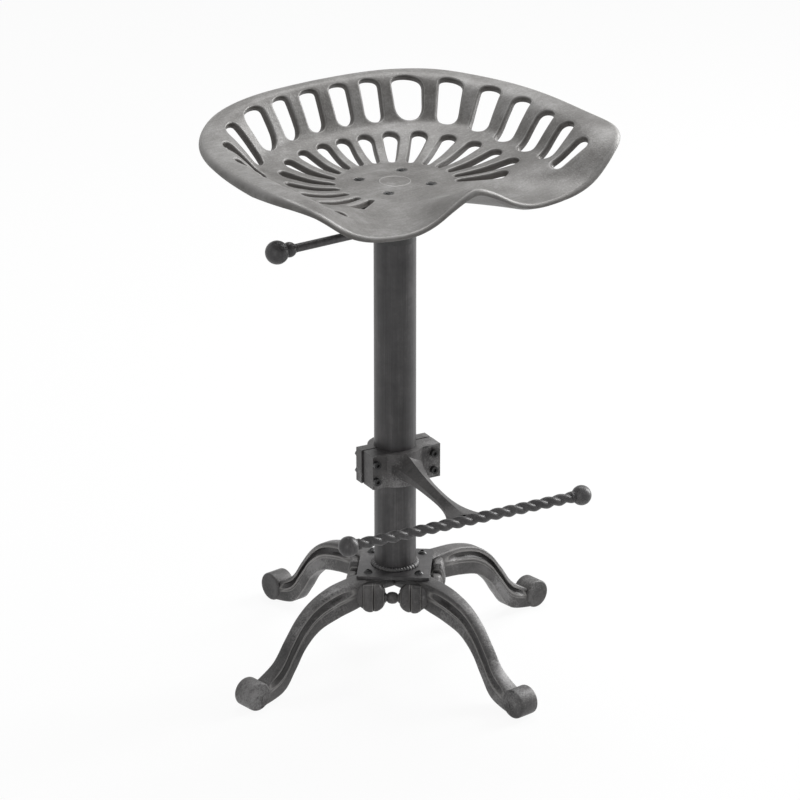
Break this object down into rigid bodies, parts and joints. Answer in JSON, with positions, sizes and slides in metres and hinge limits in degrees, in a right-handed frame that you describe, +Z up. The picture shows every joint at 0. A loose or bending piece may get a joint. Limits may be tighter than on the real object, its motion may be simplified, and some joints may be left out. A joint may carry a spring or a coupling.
{
  "type": "tractor seat stool",
  "caption": "Bar stool with a pierced cast bucket seat on a gas-lift swivel column, a lever under the seat, a clamped footrest bar and a base of curved iron legs.",
  "frame": {"origin": "on the floor, under the centre of the column", "axes": "+Z up along the column; the sitter faces -Y and the release lever points to -X"},
  "size_m": [0.481, 0.481, 0.6839],
  "materials": {
    "seat_iron": "brushed pewter-grey casting",
    "base_iron": "dark waxed iron, worn lighter on the edges",
    "column_steel": "dark charcoal steel with fine vertical streaks",
    "bolt_steel": "black oxide",
    "bush_plastic": "black bearing plastic",
    "polished_steel": "ground steel"
  },
  "bodies": {
    "base": {"leg_front": "base_iron", "leg_left": "base_iron", "leg_rear": "base_iron", "leg_right": "base_iron", "leg_ties": "base_iron", "base_plate": "column_steel", "plate_screws": "bolt_steel", "column_tube": "column_steel", "column_weld": "column_steel", "top_bush": "bush_plastic", "bottom_cup": "column_steel", "thrust_race_lower": "bolt_steel", "thrust_balls": "polished_steel", "ball_cage": "bush_plastic"},
    "swivel": {"thrust_race_upper": "bolt_steel", "piston_rod": "polished_steel", "piston": "polished_steel", "piston_ring": "bush_plastic", "retaining_clip": "bolt_steel"},
    "lift": {"gas_cylinder": "column_steel", "rod_guide": "bush_plastic", "seat_hub": "base_iron", "seat_casting": "seat_iron", "seat_screws": "bolt_steel", "seat_nuts": "bolt_steel", "lever_pin": "polished_steel"},
    "lever": {"release_lever": "column_steel", "lever_knob": "column_steel"},
    "valve": {"valve_pin": "polished_steel"},
    "footrest": {"clamp_front": "base_iron", "clamp_back": "base_iron", "clamp_screws": "bolt_steel", "clamp_nuts": "bolt_steel", "foot_bar": "column_steel", "bar_balls": "column_steel"}
  },
  "joints": [
    {"name": "seat_swivel", "type": "hinge", "parent": "base", "child": "swivel", "pos_m": [0, 0, 0], "axis": [0, 0, 1], "continuous": true},
    {"name": "seat_lift", "type": "slide", "parent": "swivel", "child": "lift", "axis": [0, 0, 1], "range_m": [0, 0.15]},
    {"name": "lever_pivot", "type": "hinge", "parent": "lift", "child": "lever", "pos_m": [-0.034, 0, 0.58], "axis": [0, 1, 0], "range_deg": [0, 7], "stiffness_Nm_per_rad": 2, "springref_deg": -8.59},
    {"name": "valve_press", "type": "slide", "parent": "lift", "child": "valve", "axis": [0, 0, -1], "range_m": [0, 0.0042]},
    {"name": "footrest_slide", "type": "slide", "parent": "base", "child": "footrest", "axis": [0, 0, 1], "range_m": [-0.1, 0.25]}
  ],
  "couplings": [
    {"joint": "valve_press", "follows": "lever_pivot", "m_per_rad": 0.034}
  ]
}
